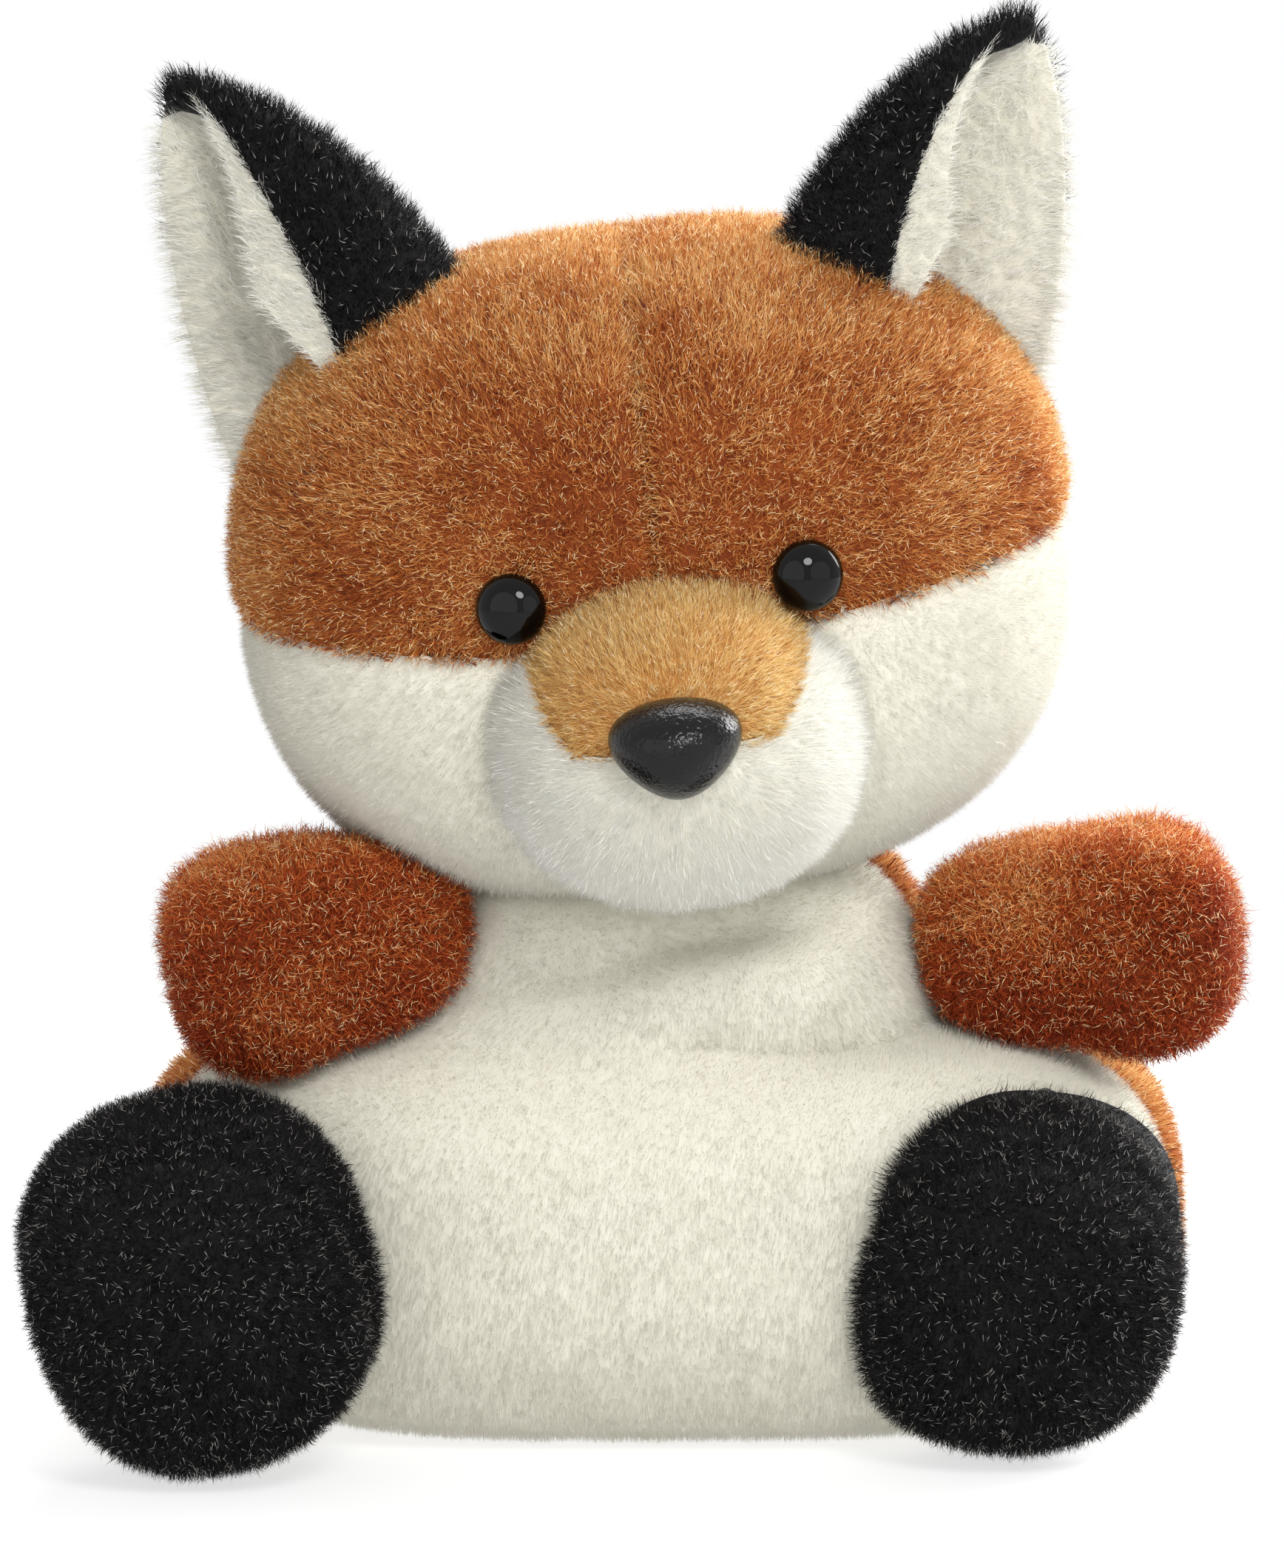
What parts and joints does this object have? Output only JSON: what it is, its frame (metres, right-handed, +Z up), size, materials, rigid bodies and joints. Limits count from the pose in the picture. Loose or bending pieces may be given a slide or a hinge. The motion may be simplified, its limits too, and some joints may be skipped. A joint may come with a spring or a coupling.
{
  "type": "plush fox",
  "caption": "Palm-size plush fox sitting upright on a weighted seat, with a large round head, cupped ears, short arms, stubby black feet and a short tail.",
  "frame": {"origin": "centre of the flat patch of the seat, on the surface it sits on", "axes": "-Y is the way the fox faces, +X is the viewer's right when looking at its face, +Z is up"},
  "size_m": [0.1096, 0.1071, 0.1298],
  "materials": {
    "rust_plush": "short rust pile",
    "cream_plush": "short cream pile",
    "tan_plush": "short tan pile",
    "black_plush": "short black pile",
    "fibrefill": "loose white fibre",
    "pellet_cloth": "plain woven bag over pellets",
    "nose_plastic": "fine-grained satin",
    "eye_plastic": "polished black",
    "washer_plastic": "moulded white"
  },
  "bodies": {
    "body": {"belly_panel": "cream_plush", "back_panel": "rust_plush", "pellet_bag": "pellet_cloth", "chest_filling": "fibrefill"},
    "neck": {"neck_core": "fibrefill", "neck_seam": "cream_plush"},
    "head": {"crown_left": "rust_plush", "crown_right": "rust_plush", "head_back": "rust_plush", "cheek_panel": "cream_plush", "head_filling": "fibrefill", "muzzle_bridge": "tan_plush", "muzzle_dome": "cream_plush", "muzzle_filling": "fibrefill", "nose": "nose_plastic", "nose_washer": "washer_plastic", "eye_left": "eye_plastic", "eye_washer_left": "washer_plastic", "eye_right": "eye_plastic", "eye_washer_right": "washer_plastic"},
    "ear_left": {"ear_left_back": "black_plush", "ear_left_lining": "cream_plush"},
    "ear_right": {"ear_right_back": "black_plush", "ear_right_lining": "cream_plush"},
    "arm_left": {"arm_left_front": "rust_plush", "arm_left_back": "rust_plush", "arm_left_filling": "fibrefill"},
    "arm_right": {"arm_right_front": "rust_plush", "arm_right_back": "rust_plush", "arm_right_filling": "fibrefill"},
    "foot_left": {"foot_left_sole": "black_plush", "foot_left_upper": "black_plush", "foot_left_filling": "pellet_cloth"},
    "foot_right": {"foot_right_sole": "black_plush", "foot_right_upper": "black_plush", "foot_right_filling": "pellet_cloth"},
    "tail": {"tail_cover": "rust_plush", "tail_tip": "cream_plush", "tail_filling": "fibrefill"}
  },
  "joints": [
    {"name": "head_nod", "type": "hinge", "parent": "body", "child": "neck", "pos_m": [0, 0, 0.05], "axis": [1, 0, 0], "range_deg": [-6, 6], "stiffness_Nm_per_rad": 0.2},
    {"name": "head_turn", "type": "hinge", "parent": "neck", "child": "head", "pos_m": [0, 0, 0.05], "axis": [0, 0, 1], "range_deg": [-12, 12], "stiffness_Nm_per_rad": 0.1},
    {"name": "ear_left_fold", "type": "hinge", "parent": "head", "child": "ear_left", "pos_m": [-0.02977, -0.00742, 0.09083], "axis": [0.9171, 0, 0.3987], "range_deg": [-12, 12], "stiffness_Nm_per_rad": 0.03},
    {"name": "ear_right_fold", "type": "hinge", "parent": "head", "child": "ear_right", "pos_m": [0.02536, -0.00742, 0.09711], "axis": [0.9744, 0, -0.225], "range_deg": [-12, 12], "stiffness_Nm_per_rad": 0.03},
    {"name": "arm_left_swing", "type": "hinge", "parent": "body", "child": "arm_left", "pos_m": [-0.02168, -0.01327, 0.04747], "axis": [0, 0, 1], "range_deg": [-12, 20], "stiffness_Nm_per_rad": 0.03},
    {"name": "arm_right_swing", "type": "hinge", "parent": "body", "child": "arm_right", "pos_m": [0.02319, -0.00799, 0.04469], "axis": [0, 0, -1], "range_deg": [-12, 20], "stiffness_Nm_per_rad": 0.03},
    {"name": "foot_left_splay", "type": "hinge", "parent": "body", "child": "foot_left", "pos_m": [-0.03737, -0.01336, 0.0181], "axis": [0, 0, 1], "range_deg": [-10, 10], "stiffness_Nm_per_rad": 0.05},
    {"name": "foot_right_splay", "type": "hinge", "parent": "body", "child": "foot_right", "pos_m": [0.02938, -0.01036, 0.0168], "axis": [0, 0, 1], "range_deg": [-10, 10], "stiffness_Nm_per_rad": 0.05},
    {"name": "tail_swing", "type": "hinge", "parent": "body", "child": "tail", "pos_m": [0.007, 0.027, 0.0126], "axis": [0, 0, 1], "range_deg": [-18, 18], "stiffness_Nm_per_rad": 0.03}
  ]
}
